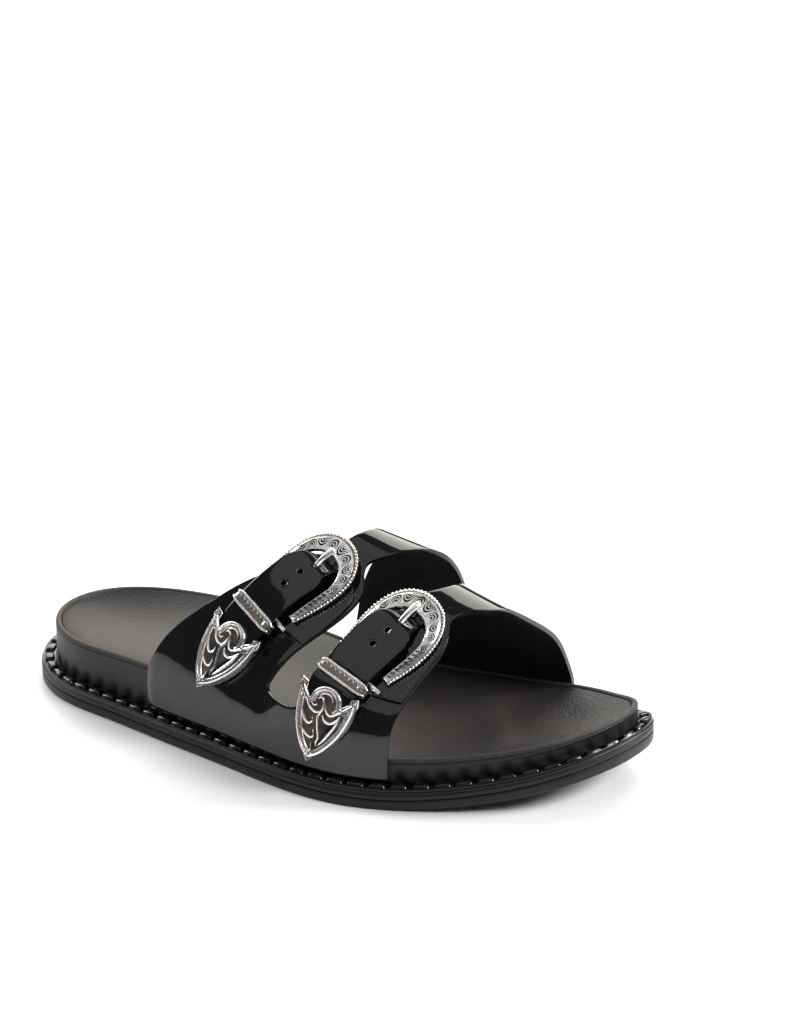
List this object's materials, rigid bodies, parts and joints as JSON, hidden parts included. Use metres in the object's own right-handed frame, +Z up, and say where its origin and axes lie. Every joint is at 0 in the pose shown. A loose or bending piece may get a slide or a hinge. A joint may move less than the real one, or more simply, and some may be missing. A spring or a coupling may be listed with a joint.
{
  "type": "buckled mule",
  "caption": "Black two-strap slide sandal with a contoured footbed, glossy straps, ornamental metal buckles and a studded rand",
  "frame": {"origin": "on the floor under the middle of the shoe's overall plan", "axes": "+X towards the toe, +Y towards the medial side, +Z up"},
  "size_m": [0.2624, 0.117, 0.0828],
  "materials": {
    "rubber": "matt moulded rubber",
    "matt_black": "matt moulded foam with a fine grain",
    "footbed_cover": "fine suede-like cover",
    "gloss_rubber": "glossy moulded strip",
    "patent": "patent, high gloss",
    "silver": "polished cast metal with dark recesses"
  },
  "bodies": {
    "root": {"outsole": "rubber", "midsole": "matt_black", "insole": "footbed_cover", "rand": "gloss_rubber", "upper": "patent", "front_backing": "patent", "front_tail": "patent", "front_frame": "silver", "front_bar": "silver", "front_prong": "silver", "front_keeper": "silver", "front_tip": "silver", "rear_backing": "patent", "rear_tail": "patent", "rear_frame": "silver", "rear_bar": "silver", "rear_prong": "silver", "rear_keeper": "silver", "rear_tip": "silver"}
  },
  "joints": []
}
